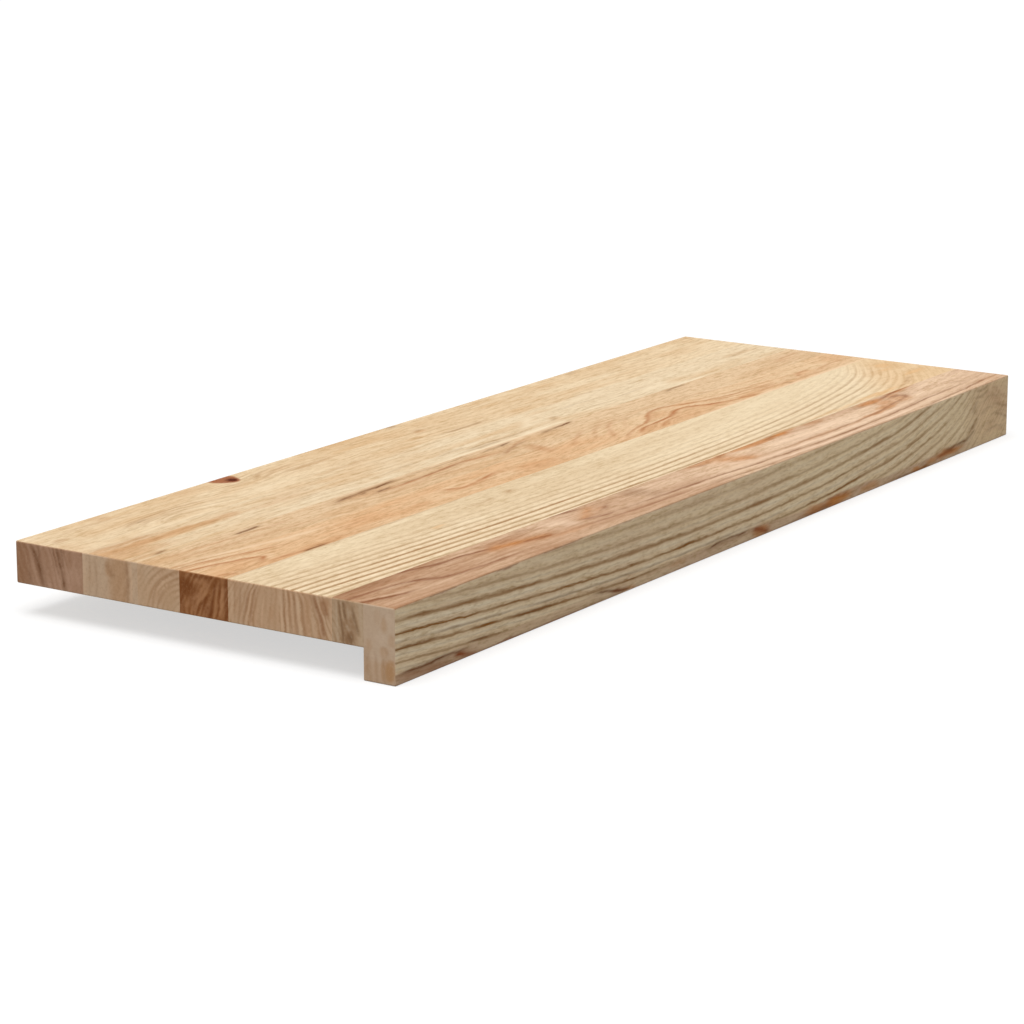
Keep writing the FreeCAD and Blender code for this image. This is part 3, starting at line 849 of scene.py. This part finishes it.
def boardSurface(name, freeFront, freeBack, sideStep):
    # section grid, its rim carried along the length and closed by the whole grid at both ends
    # e before an end the rim is drawn in by r - sqrt(r^2 - (r - e)^2), r being the arris
    radius = board["arris"]
    low, high = (np.array(corner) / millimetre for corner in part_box(name))
    ys = spaced(low[1], high[1], board["acrossStep"], freeFront, freeBack)
    zs = spaced(low[2], high[2], sideStep, freeFront or freeBack, freeFront or freeBack)
    free = [back for back, isFree in ((False, freeFront), (True, freeBack)) if isFree]
    corners = [(upper, back) for back in free for upper in (True, False)]
    gridY, gridZ = roundCorners(*np.meshgrid(ys, zs, indexing="ij"), low[1:], high[1:], corners)
    ny, nz = gridY.shape
    rows, cols = np.arange(ny), np.arange(1, nz - 1)
    rimRow = np.concatenate([rows, np.full(nz - 2, ny - 1), rows[::-1], np.zeros(nz - 2, int)])
    rimCol = np.concatenate([np.full(ny, nz - 1), cols[::-1], np.zeros(ny, int), cols])
    ease = radius * (1.0 - np.cos(np.linspace(0.0, math.pi / 2, board["arrisSteps"] + 1)))
    length = high[0] - low[0]
    body = np.linspace(radius, length - radius, int(round(length / board["alongStep"])) + 1)
    places = np.concatenate([ease[:-1], body, length - ease[:-1][::-1]])
    fromEnd = np.minimum(np.minimum(places, length - places), radius)
    drawIn = radius - np.sqrt(np.maximum(radius ** 2 - (radius - fromEnd) ** 2, 0.0))
    fixedY = high[1] if freeFront else low[1]
    kY = (1.0 - drawIn / (high[1] - low[1])) if (freeFront or freeBack) else np.ones(len(places))
    midZ = (low[2] + high[2]) / 2
    kZ = 1.0 - 2.0 * drawIn / (high[2] - low[2])

    def section(y, z, station):
        x = np.broadcast_to(low[0] + places[station], y.shape)
        return np.stack([x, fixedY + (y - fixedY) * kY[station], midZ + (z - midZ) * kZ[station]], -1)

    stations = np.arange(len(places))[:, None]
    rim = section(*np.broadcast_arrays(gridY[rimRow, rimCol], gridZ[rimRow, rimCol], stations)[:2], stations)
    rimCount = len(rimRow)
    points = [rim.reshape(-1, 3)]
    starts = np.arange(len(places) - 1)[:, None] * rimCount
    here = starts + np.arange(rimCount)
    following = starts + (np.arange(rimCount) + 1) % rimCount
    quads = [np.stack([here, following, following + rimCount, here + rimCount], -1).reshape(-1, 4)]
    total = len(points[0])
    for station, turned in ((0, True), (len(places) - 1, False)):
        index = np.zeros((ny, nz), int)
        index[1:-1, 1:-1] = total + np.arange((ny - 2) * (nz - 2)).reshape(ny - 2, nz - 2)
        index[rimRow, rimCol] = station * rimCount + np.arange(rimCount)
        inner = section(gridY[1:-1, 1:-1], gridZ[1:-1, 1:-1], station)
        points.append(inner.reshape(-1, 3))
        total += inner.shape[0] * inner.shape[1]
        cap = np.stack([index[:-1, :-1], index[1:, :-1], index[1:, 1:], index[:-1, 1:]], -1).reshape(-1, 4)
        quads.append(cap[:, ::-1] if turned else cap)
    return np.concatenate(points), np.concatenate(quads), low, high


def makeMesh(name, points, quads, attributes):
    # the arrays put into a mesh whole, each part of the figure as an attribute of its points
    mesh = bpy.data.meshes.new(name)
    mesh.vertices.add(len(points))
    mesh.vertices.foreach_set("co", (points * millimetre).astype(np.float32).ravel())
    mesh.loops.add(quads.size)
    mesh.loops.foreach_set("vertex_index", quads.astype(np.int32).ravel())
    mesh.polygons.add(len(quads))
    mesh.polygons.foreach_set("loop_start", np.arange(0, quads.size, 4, dtype=np.int32))
    mesh.polygons.foreach_set("use_smooth", np.ones(len(quads), bool))
    for key, values in attributes.items():
        layer = mesh.attributes.new(key, "FLOAT", "POINT")
        layer.data.foreach_set("value", values.astype(np.float32))
    mesh.update(calc_edges=True)
    mesh.validate()
    mesh.set_sharp_from_angle(angle=math.radians(board["sharpAngle"]))
    piece = bpy.data.objects.new(name, mesh)
    bpy.context.scene.collection.objects.link(piece)
    return piece


# Wood material: rings, fibres, pores and stains over two base colours, with end grain of its own

def paint(red, green, blue):
    # a colour as seen, 0 to 255, turned into the linear light that shaders use
    seen = np.array([red, green, blue]) / 255.0
    light = np.where(seen <= 0.04045, seen / 12.92, ((seen + 0.055) / 1.055) ** 2.4)
    return (*light.tolist(), 1.0)


def addNode(tree, kind, inputs=None, **settings):
    made = tree.nodes.new(kind)
    for key, value in settings.items():
        setattr(made, key, value)
    for key, value in (inputs or {}).items():
        if isinstance(value, bpy.types.NodeSocket):
            tree.links.new(value, made.inputs[key])
        else:
            made.inputs[key].default_value = value
    return made


def reading(tree, name):
    return addNode(tree, "ShaderNodeAttribute", attribute_name=name).outputs["Fac"]


def maths(tree, operation, a, b=0.0, clamp=False):
    return addNode(tree, "ShaderNodeMath", {0: a, 1: b}, operation=operation, use_clamp=clamp).outputs[0]


def mixed(tree, share, first, second, blend="MIX"):
    made = addNode(tree, "ShaderNodeMix", {0: share, 6: first, 7: second}, data_type="RGBA", blend_type=blend)
    made.clamp_factor = True
    return made.outputs[2]


def ramp(tree, value, stops, spline="LINEAR"):
    made = addNode(tree, "ShaderNodeValToRGB", {0: value})
    made.color_ramp.interpolation = spline
    while len(made.color_ramp.elements) < len(stops):
        made.color_ramp.elements.new(0.5)
    for element, (place, level) in zip(made.color_ramp.elements, stops):
        element.position = place
        element.color = (level, level, level, 1.0)
    return made.outputs["Color"]


def stretchedNoise(tree, place, scale, detail, roughness):
    spot = addNode(tree, "ShaderNodeMapping", {"Vector": place, "Scale": scale}).outputs[0]
    inputs = {"Vector": spot, "Scale": 1.0, "Detail": detail, "Roughness": roughness}
    return addNode(tree, "ShaderNodeTexNoise", inputs).outputs["Fac"]


# how dark or pale the wood is through one year, as (share of the year, level)
lateWood = [(0.0, 0.12), (0.06, 0.0), (0.52, 0.0), (0.64, 0.5), (0.74, 0.9), (0.81, 1.0),
            (0.87, 0.95), (0.94, 0.45), (1.0, 0.12)]
earlyWood = [(0.0, 0.2), (0.14, 0.8), (0.27, 1.0), (0.42, 0.6), (0.56, 0.1), (0.66, 0.0),
             (0.92, 0.0), (1.0, 0.2)]
# which levels of a noise count as dark and as pale fibres, knot and cells
darkFibre, paleFibre = [(0.5, 0.0), (0.65, 1.0)], [(0.36, 1.0), (0.5, 0.0)]
knotRim, knotHeart = [(0.15, 0.0), (0.5, 0.9)], [(0.55, 0.0), (0.85, 1.0)]
darkCell, paleCell = [(0.5, 0.0), (0.7, 1.0)], [(0.3, 1.0), (0.5, 0.0)]


def woodMaterial(name, look):
    material = bpy.data.materials.new(name)
    material.use_nodes = True
    tree = material.node_tree
    shader = tree.nodes["Principled BSDF"]
    place = addNode(tree, "ShaderNodeTexCoord").outputs["Object"]
    ring = reading(tree, "ring")
    ink = reading(tree, "ink")

    def plus(a, b, clamp=False):
        return maths(tree, "ADD", a, b, clamp)

    def times(a, b):
        return maths(tree, "MULTIPLY", a, b)

    def swing(noise, amount):
        # the noise taken about its middle
        return times(maths(tree, "SUBTRACT", noise, 0.5), amount)

    def colour(key):
        # the nosing's face was sawn across the rings, and has colours of its own
        if key not in look.get("face", {}):
            return paint(*look[key])
        return mixed(tree, reading(tree, "face"), paint(*look[key]), paint(*look["face"][key]))

    # fibres run along the tread and bend with the growth rings, pores and cells don't
    apart = addNode(tree, "ShaderNodeSeparateXYZ", {"Vector": place}).outputs
    flow = addNode(tree, "ShaderNodeCombineXYZ", {"X": apart["X"], "Y": ring}).outputs[0]
    fibre = stretchedNoise(tree, flow, look["fibreScale"], detail=5.0, roughness=0.72)
    hair = stretchedNoise(tree, flow, look["hairScale"], detail=3.0, roughness=0.65)
    mottle = stretchedNoise(tree, flow, look["mottleScale"], detail=4.0, roughness=0.7)
    fleck = stretchedNoise(tree, place, look["fleckScale"], detail=3.0, roughness=0.7)
    cell = stretchedNoise(tree, place, look["cellScale"], detail=4.0, roughness=0.65)
    grain = plus(times(fibre, 0.5), times(hair, 0.5))
    jitter = swing(grain, look["ringJitter"])

    # along the grain: two base colours, growth rings, then fibres, veins and stains
    warmth = plus(reading(tree, "warm"), swing(mottle, look["mottle"]), clamp=True)
    wood = mixed(tree, warmth, colour("pale"), colour("warm"))
    grown = plus(ring, jitter)
    year = maths(tree, "FRACT", grown)
    early = times(ramp(tree, year, earlyWood, "EASE"), ink)
    wood = mixed(tree, times(early, look["shine"]), wood, colour("light"))
    late = ramp(tree, year, lateWood, "EASE")
    late = addNode(tree, "ShaderNodeMapRange", {0: late, 1: reading(tree, "fine"), 2: 1.0}).outputs[0]
    season = maths(tree, "FRACT", times(grown, look["seasons"]))
    faint = times(ramp(tree, season, lateWood, "EASE"), times(ink, look["season"]))
    late = maths(tree, "MAXIMUM", times(late, ink), faint)
    late = times(late, plus(times(grain, look["lateTear"]), look["lateInk"]))
    wood = mixed(tree, late, wood, colour("line"))
    wood = mixed(tree, reading(tree, "amber"), wood, colour("amber"))
    flecked = plus(grain, swing(fleck, look["fleck"]))
    span = {0: apart["X"], 1: look["nearEnd"], 2: look["farEnd"], 3: look["fibre"], 4: look["farFibre"]}
    strength = addNode(tree, "ShaderNodeMapRange", span).outputs[0]
    for stops, tint in ((darkFibre, "fibreDark"), (paleFibre, "fibreLight")):
        wood = mixed(tree, times(ramp(tree, flecked, stops), strength), wood, look[tint], "MULTIPLY")
    torn = plus(grain, 0.5)
    vein = times(reading(tree, "vein"), torn)
    wood = mixed(tree, times(vein, -1.0), wood, colour("light"))
    wood = mixed(tree, vein, wood, colour("vein"))
    wood = mixed(tree, times(reading(tree, "stain"), torn), wood, paint(*look["stain"]))
    knot = plus(reading(tree, "knot"), times(jitter, look["knotJitter"]))
    wood = mixed(tree, ramp(tree, knot, knotRim), wood, paint(*look["knotRim"]))
    wood = mixed(tree, ramp(tree, knot, knotHeart), wood, paint(*look["knot"]))

    # across the grain, on the sawn ends
    endYear = maths(tree, "FRACT", plus(reading(tree, "endRing"), swing(cell, look["endJitter"])))
    endInk = reading(tree, "endInk")
    endVein = reading(tree, "endVein")
    endWood = mixed(tree, reading(tree, "endWarm"), paint(*look["endPale"]), paint(*look["endWarm"]))
    for share, tint in (
        (times(ramp(tree, endYear, earlyWood, "EASE"), times(endInk, look["endShine"])), "endLight"),
        (times(ramp(tree, endYear, lateWood, "EASE"), endInk), "endLine"),
        (times(endVein, -1.0), "endLight"),
        (endVein, "endVein"),
        (times(ramp(tree, cell, darkCell), look["darkSpeck"]), "endLine"),
        (times(ramp(tree, cell, paleCell), look["paleSpeck"]), "endLight"),
    ):
        endWood = mixed(tree, share, endWood, paint(*look[tint]))
    wood = mixed(tree, reading(tree, "cut"), wood, endWood)
    tree.links.new(wood, shader.inputs["Base Color"])

    rough = plus(times(grain, look["roughSpread"]), look["roughness"])
    tree.links.new(rough, shader.inputs["Roughness"])
    shader.inputs["Specular IOR Level"].default_value = look["gloss"]
    raised = {"Height": grain, "Strength": look["relief"], "Distance": look["reliefHeight"]}
    tree.links.new(addNode(tree, "ShaderNodeBump", raised).outputs["Normal"], shader.inputs["Normal"])
    return material


plainLook = {
    "pale": (238, 213, 176),
    "warm": (220, 183, 138),
    "light": (249, 228, 194),
    "line": (168, 128, 84),
    "fibreDark": (0.78, 0.72, 0.62, 1.0),  # the fibres multiply the colour under them by these
    "fibreLight": (1.1, 1.13, 1.17, 1.0),
    "fibreScale": (20.0, 1.4, 1.0),  # to the metre along the tread, and to the ring across it
    "hairScale": (80.0, 3.6, 1.0),
    "mottleScale": (12.0, 0.7, 1.0),
    "fleckScale": (140.0, 450.0, 450.0),  # these two are to the metre each way
    "cellScale": (300.0, 420.0, 420.0),
    "fibre": 0.9,  # strength of the fibres up to nearEnd, and past farEnd
    "farFibre": 0.9,
    "nearEnd": -0.2,
    "farEnd": 0.3,
    "fleck": 0.4,  # how far short pores break up the fibres
    "amber": (194, 132, 82),
    "vein": (176, 132, 90),
    "stain": (128, 86, 52),
    "knot": (84, 28, 0),
    "knotRim": (158, 88, 52),
    "knotJitter": 0.6,
    "endPale": (228, 194, 158),
    "endWarm": (208, 164, 122),
    "endLight": (244, 206, 168),
    "endLine": (186, 136, 96),
    "endVein": (160, 112, 78),
    "endJitter": 0.5,
    "endShine": 0.7,
    "darkSpeck": 0.28,
    "paleSpeck": 0.22,
    "ringJitter": 0.6,
    "lateTear": 0.6,  # how far the fibres break up the dark lines
    "lateInk": 0.68,
    "season": 0.22,  # ink of the fainter lines inside each year
    "seasons": 3.0,
    "mottle": 0.9,
    "shine": 0.55,
    "roughness": 0.62,
    "roughSpread": 0.2,
    "gloss": 0.05,
    "relief": 0.3,
    "reliefHeight": 0.0006,
}
tanLook = {
    "pale": (232, 198, 157),
    "warm": (223, 176, 130),
    "light": (243, 211, 174),
    "line": (180, 130, 86),
    "vein": (184, 121, 76),
    "fleck": 0.6,
}
rosyLook = {
    "pale": (236, 204, 171),
    "warm": (182, 138, 104),
    "light": (246, 214, 184),
    "line": (164, 118, 86),
    "vein": (134, 84, 54),
    "amber": (199, 135, 81),
    "fleck": 0.65,
}
staveLooks = {
    "stave_1": {
        "endPale": (208, 166, 137), "endWarm": (175, 129, 96), "endLight": (222, 182, 152),
        "endLine": (170, 124, 94), "endVein": (140, 98, 68),
    },
    "stave_2": {"pale": (236, 213, 178), "endPale": (229, 199, 167), "endWarm": (213, 171, 132)},
    "stave_3": {
        **tanLook, "pale": (229, 197, 158), "warm": (215, 175, 131),
        "endPale": (226, 191, 155), "endWarm": (214, 172, 132),
        "endLine": (200, 154, 114), "endVein": (186, 138, 100),
    },
    "stave_4": {
        **tanLook, "endPale": (182, 124, 78), "endWarm": (138, 80, 40), "endLight": (212, 156, 112),
        "endLine": (146, 88, 46), "endVein": (128, 70, 32),
    },
    "stave_5": {
        "pale": (239, 217, 181), "warm": (214, 183, 142), "light": (255, 232, 198), "line": (170, 126, 82),
        "shine": 1.0, "amber": (231, 186, 134), "fleck": 0.65,
        "ringJitter": 0.35, "fibre": 0.7, "farFibre": 0.45, "mottle": 0.6,
        "endLine": (196, 148, 108), "endWarm": (210, 160, 118), "endVein": (176, 126, 90),
    },
    "stave_6": {
        **rosyLook, "endPale": (216, 182, 146), "endLight": (226, 200, 168), "endWarm": (176, 134, 98),
        "endLine": (176, 136, 98), "endVein": (150, 112, 78),
    },
    "nosing": {
        **rosyLook, "endPale": (226, 198, 169), "endWarm": (198, 144, 88), "endLine": (206, 166, 132),
        "endVein": (196, 156, 122), "endLight": (238, 210, 182), "shine": 0.9, "ringJitter": 0.5,
        "season": 0.12, "mottle": 0.6, "fleck": 0.5, "stain": (116, 68, 28),
        "fibreScale": (20.0, 2.2, 1.0), "hairScale": (90.0, 6.0, 1.0),
        "face": {
            "pale": (246, 220, 178), "warm": (206, 168, 137), "light": (255, 236, 203),
            "line": (148, 100, 50), "amber": (208, 137, 72), "vein": (156, 88, 50),
        },
    },
}


# Pieces

figureKeys = ["ring", "ink", "fine", "warm", "vein", "amber", "stain", "knot", "face",
              "cut", "endRing", "endInk", "endWarm", "endVein"]


inside = {
    "slant": 0.45,  # how far the figure leans as it goes down
    "figureDepth": (2.0, 14.0),  # drawn features die out between these depths
    "cutDepth": (0.05, 0.45),  # end grain goes over into long grain between these
    "endBand": 2.0,  # end grain is only worked out so near to an end
}


def grow(name, points, topFigure):
    # the top's figure carried down through the stave at a slant, its drawn features dying out on the way
    # the knot goes down in a half round, where it comes out at the back
    along = points[:, 0] - treadLow[0]
    across = treadHigh[1] - points[:, 1]
    deep = treadHigh[2] - points[:, 2]
    figure = {key: np.zeros(len(points)) for key in figureKeys}
    figure.update(topFigure(along, across + inside["slant"] * deep))
    for key in ("vein", "amber", "stain"):
        figure[key] = figure[key] * (1.0 - smoothStep(*inside["figureDepth"], deep))
    fromKnot = np.hypot((along - paleBack["knot"][0]) / paleBack["knotHalf"], deep / paleBack["knotDepth"])
    figure["knot"] = figure["knot"] * (1.0 - smoothStep(*paleBack["knotFade"], fromKnot))
    fromEnd = np.minimum(along, treadHigh[0] - points[:, 0])
    figure["cut"] = 1.0 - smoothStep(*inside["cutDepth"], fromEnd)
    atEnd = fromEnd < inside["endBand"]
    for key, values in endFigure(name, across[atEnd], deep[atEnd], points[atEnd, 0] > 0).items():
        figure[key][atEnd] = values
    return figure


topFigures = {
    "stave_1": paleBackFigure,
    "stave_2": paleBackFigure,
    "stave_3": tanMiddleFigure,
    "stave_4": tanMiddleFigure,
    "stave_5": paleLinedFigure,
    "stave_6": rosyFrontFigure,
    "nosing": rosyFrontFigure,
}


def dressNosingFace(points, low, high, figure):
    # the upright faces take the face's figure, and the lines stop on the arris where the two figures meet
    along = points[:, 0] - treadLow[0]
    deep = treadHigh[2] - points[:, 2]
    fromFace = np.minimum(points[:, 1] - low[1], high[1] - points[:, 1])
    fromTop = np.minimum(deep, points[:, 2] - low[2])
    wave = np.maximum(softNoise(along / 26.0, 0.0 * along, 67), 0.0) * (1.0 - smoothStep(200, 400, along))
    overEdge = nosingFace["edge"] + nosingFace["edgeWave"] * wave
    upright = smoothStep(-nosingFace["edgeBlur"], nosingFace["edgeBlur"], fromTop - fromFace - overEdge)
    face = nosingFaceFigure(along, deep)
    for key in face:
        figure[key] = np.where(upright > 0.5, face[key], figure[key])
    figure["face"] = upright
    nearArris = np.maximum(fromTop, fromFace) < 2.0 * board["arris"]
    meeting = bell(fromTop - fromFace, nosingFace["meeting"]) * nearArris
    figure["ink"] = figure["ink"] * (1.0 - meeting)


for name in staveNames + ["nosing"]:
    isNosing = name == "nosing"
    sideStep = board["faceStep"] if isNosing else board["sideStep"]
    points, quads, low, high = boardSurface(name, isNosing, name == "stave_1", sideStep)
    figure = grow(name, points, topFigures[name])
    if isNosing:
        dressNosingFace(points, low, high, figure)
    piece = makeMesh(f"{name}_wood", points, quads, figure)
    piece.data.materials.append(woodMaterial(f"{name}_grain", {**plainLook, **staveLooks[name]}))
    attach(piece, "root")
    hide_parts(name)
    print(piece.name, len(quads), "quads")


# Camera, floor and light

cameraView = {
    "place": (-2.1402, -1.3698, 0.6230),
    "turn": 56.4586,  # degrees from +Y towards +X
    "tip": 13.7354,  # degrees down
    "lens": 119.01,
    "sensor": 36.0,
    "farthest": 100.0,
}


def makeCamera():
    lens = bpy.data.cameras.new("camera")
    lens.lens = cameraView["lens"]
    lens.sensor_width = cameraView["sensor"]
    lens.clip_end = cameraView["farthest"]
    holder = bpy.data.objects.new("camera", lens)
    holder.location = cameraView["place"]
    holder.rotation_euler = (math.radians(90 - cameraView["tip"]), 0.0, -math.radians(cameraView["turn"]))
    bpy.context.scene.collection.objects.link(holder)
    bpy.context.scene.camera = holder


studio = {
    "floorSize": 30.0,
    "floorTone": 0.45,
    "floorRoughness": 0.9,
    "floorWhite": 0.6,
    "skyLevel": 0.3,
    "sunPower": 2.3,
    "sunSpread": 50.0,  # degrees, wide for soft shadows
    "sunLean": 9.0,  # degrees from overhead towards the left end
}


def seenDirectly(tree):
    rays = addNode(tree, "ShaderNodeLightPath").outputs
    seen = maths(tree, "MAXIMUM", rays["Is Camera Ray"], rays["Is Glossy Ray"])
    return maths(tree, "MAXIMUM", seen, rays["Is Transmission Ray"])


def makeFloor():
    half = studio["floorSize"] / 2
    mesh = bpy.data.meshes.new("floor")
    corners = [(-half, -half, 0), (half, -half, 0), (half, half, 0), (-half, half, 0)]
    mesh.from_pydata(corners, [], [(0, 1, 2, 3)])
    floor = bpy.data.objects.new("floor", mesh)
    bpy.context.scene.collection.objects.link(floor)
    material = bpy.data.materials.new("floor_paper")
    material.use_nodes = True
    tree = material.node_tree
    shader = tree.nodes["Principled BSDF"]
    tone = studio["floorTone"]
    shader.inputs["Base Color"].default_value = (tone, tone, tone, 1.0)
    shader.inputs["Roughness"].default_value = studio["floorRoughness"]
    shader.inputs["Specular IOR Level"].default_value = 0.0
    shader.inputs["Emission Color"].default_value = (1.0, 1.0, 1.0, 1.0)
    lift = maths(tree, "MULTIPLY", seenDirectly(tree), studio["floorWhite"])
    tree.links.new(lift, shader.inputs["Emission Strength"])
    mesh.materials.append(material)


def makeLight():
    world = bpy.data.worlds.new("studio")
    bpy.context.scene.world = world
    world.use_nodes = True
    tree = world.node_tree
    background = tree.nodes["Background"]
    background.inputs["Color"].default_value = (1.0, 1.0, 1.0, 1.0)
    seen = seenDirectly(tree)
    level = maths(tree, "ADD", maths(tree, "MULTIPLY", seen, 1.0 - studio["skyLevel"]), studio["skyLevel"])
    tree.links.new(level, background.inputs["Strength"])
    lamp = bpy.data.lights.new("softbox", "SUN")
    lamp.energy = studio["sunPower"]
    lamp.angle = math.radians(studio["sunSpread"])
    holder = bpy.data.objects.new("softbox", lamp)
    holder.rotation_euler = (0.0, -math.radians(studio["sunLean"]), 0.0)
    bpy.context.scene.collection.objects.link(holder)


makeCamera()
makeFloor()
makeLight()
bpy.context.scene.view_settings.view_transform = "Standard"
print("camera, floor and light in place")
